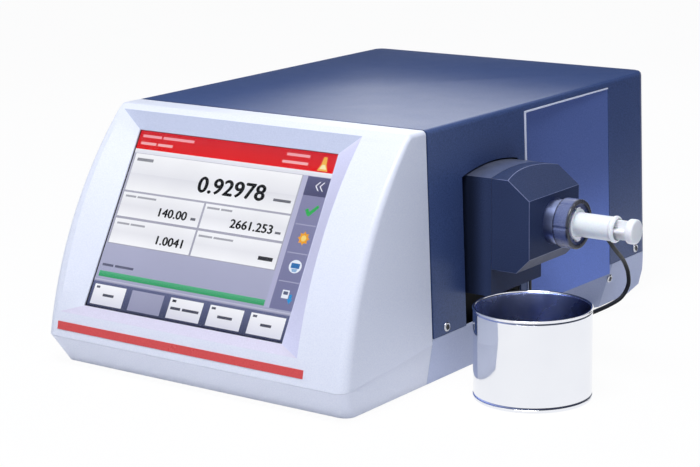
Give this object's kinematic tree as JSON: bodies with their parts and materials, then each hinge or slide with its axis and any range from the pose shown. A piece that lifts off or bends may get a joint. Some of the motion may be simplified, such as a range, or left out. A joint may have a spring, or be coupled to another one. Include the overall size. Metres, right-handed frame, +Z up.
{
  "type": "benchtop density meter",
  "caption": "Benchtop density meter with a tilted touch screen in a curved front, a slate blue cover, a side filling port that holds a syringe, and a loose steel waste cup.",
  "frame": {"origin": "on the bench, at the middle of the whole object's outline seen from above (housing, syringe and cup)", "axes": "+X across the instrument towards the filling port, +Y from the screen towards the rear, +Z up"},
  "size_m": [0.4703, 0.5109, 0.222],
  "materials": {
    "bezel": "satin",
    "cover_paint": "fine-grained powder coat",
    "panel_paint": "fine-grained powder coat",
    "attachment_paint": "satin",
    "red_trim": "satin",
    "touch_glass": "polished",
    "display": "matte",
    "sheet_steel": "zinc plated",
    "dark_sheet": "matte black",
    "black_plastic": "matte",
    "ring_plastic": "satin",
    "dark_metal": "anodised",
    "alu": "machined",
    "bright_steel": "polished",
    "cup_steel": "polished",
    "white_plastic": "satin",
    "tube_plastic": "satin",
    "dark_tube": "smooth",
    "rubber": "matte",
    "lab_glass": "polished",
    "ceramic": "matte",
    "board": "satin",
    "brass": "turned"
  },
  "bodies": {
    "instrument": {"base_tray": "bezel", "rubber_feet": "rubber", "front_skirt": "bezel", "front_bezel": "bezel", "accent_strip": "red_trim", "touch_glass": "touch_glass", "display_panel": "display", "display_bracket": "sheet_steel", "display_board": "board", "top_cover": "cover_paint", "side_panel": "panel_paint", "cover_screws": "bright_steel", "chassis_plate": "sheet_steel", "front_frame": "dark_sheet", "side_bracket": "dark_sheet", "rear_panel": "cover_paint", "io_plate": "cover_paint", "rear_uprights": "sheet_steel", "rear_screws": "bright_steel", "attachment_flange": "attachment_paint", "attachment_hood": "attachment_paint", "heater_rod": "bright_steel", "port_barrel": "dark_metal", "port_adapter": "white_plastic", "inlet_nozzle": "bright_steel", "sample_tube": "tube_plastic", "outlet_tube": "dark_tube", "lead_gland": "black_plastic", "connecting_lead": "dark_tube", "lead_plug": "black_plastic", "lead_socket": "bright_steel", "cell_block": "alu", "cell_lid": "alu", "u_tube": "lab_glass", "temperature_sensor": "bright_steel", "cell_support": "sheet_steel", "peltier_element": "ceramic", "heat_sink": "alu", "main_board": "board", "board_standoffs": "brass", "power_supply": "sheet_steel", "fan_housing": "black_plastic", "finger_guard": "bright_steel", "mains_inlet": "black_plastic", "switch_frame": "black_plastic", "usb_sockets": "bright_steel", "network_socket": "bright_steel", "serial_socket": "bright_steel"},
    "clamp_ring": {"clamp_ring": "ring_plastic"},
    "syringe": {"syringe_barrel": "white_plastic"},
    "plunger": {"syringe_plunger": "white_plastic", "plunger_seal": "rubber"},
    "rocker": {"power_switch": "black_plastic"},
    "fan": {"fan_rotor": "black_plastic"},
    "drawer": {"fuse_drawer": "black_plastic"},
    "cup": {"waste_cup": "cup_steel"}
  },
  "joints": [
    {"name": "ring_turn", "type": "hinge", "parent": "instrument", "child": "clamp_ring", "pos_m": [0.1715, -0.0267, 0.1335], "axis": [1, 0, 0], "range_deg": [0, 90]},
    {"name": "syringe_slide", "type": "slide", "parent": "instrument", "child": "syringe", "axis": [1, 0, 0], "range_m": [0, 0.075]},
    {"name": "plunger_slide", "type": "slide", "parent": "syringe", "child": "plunger", "axis": [1, 0, 0], "range_m": [-0.009, 0.038]},
    {"name": "rocker_tilt", "type": "hinge", "parent": "instrument", "child": "rocker", "pos_m": [-0.1875, 0.2505, 0.15], "axis": [-1, 0, 0], "range_deg": [0, 16]},
    {"name": "fan_spin", "type": "hinge", "parent": "instrument", "child": "fan", "pos_m": [0.0185, 0.2353, 0.128], "axis": [0, 1, 0], "continuous": true},
    {"name": "drawer_slide", "type": "slide", "parent": "instrument", "child": "drawer", "axis": [0, 1, 0], "range_m": [0, 0.021]},
    {"name": "cup_slide", "type": "slide", "parent": "instrument", "child": "cup", "axis": [0, -1, 0], "range_m": [0, 0.212]}
  ]
}
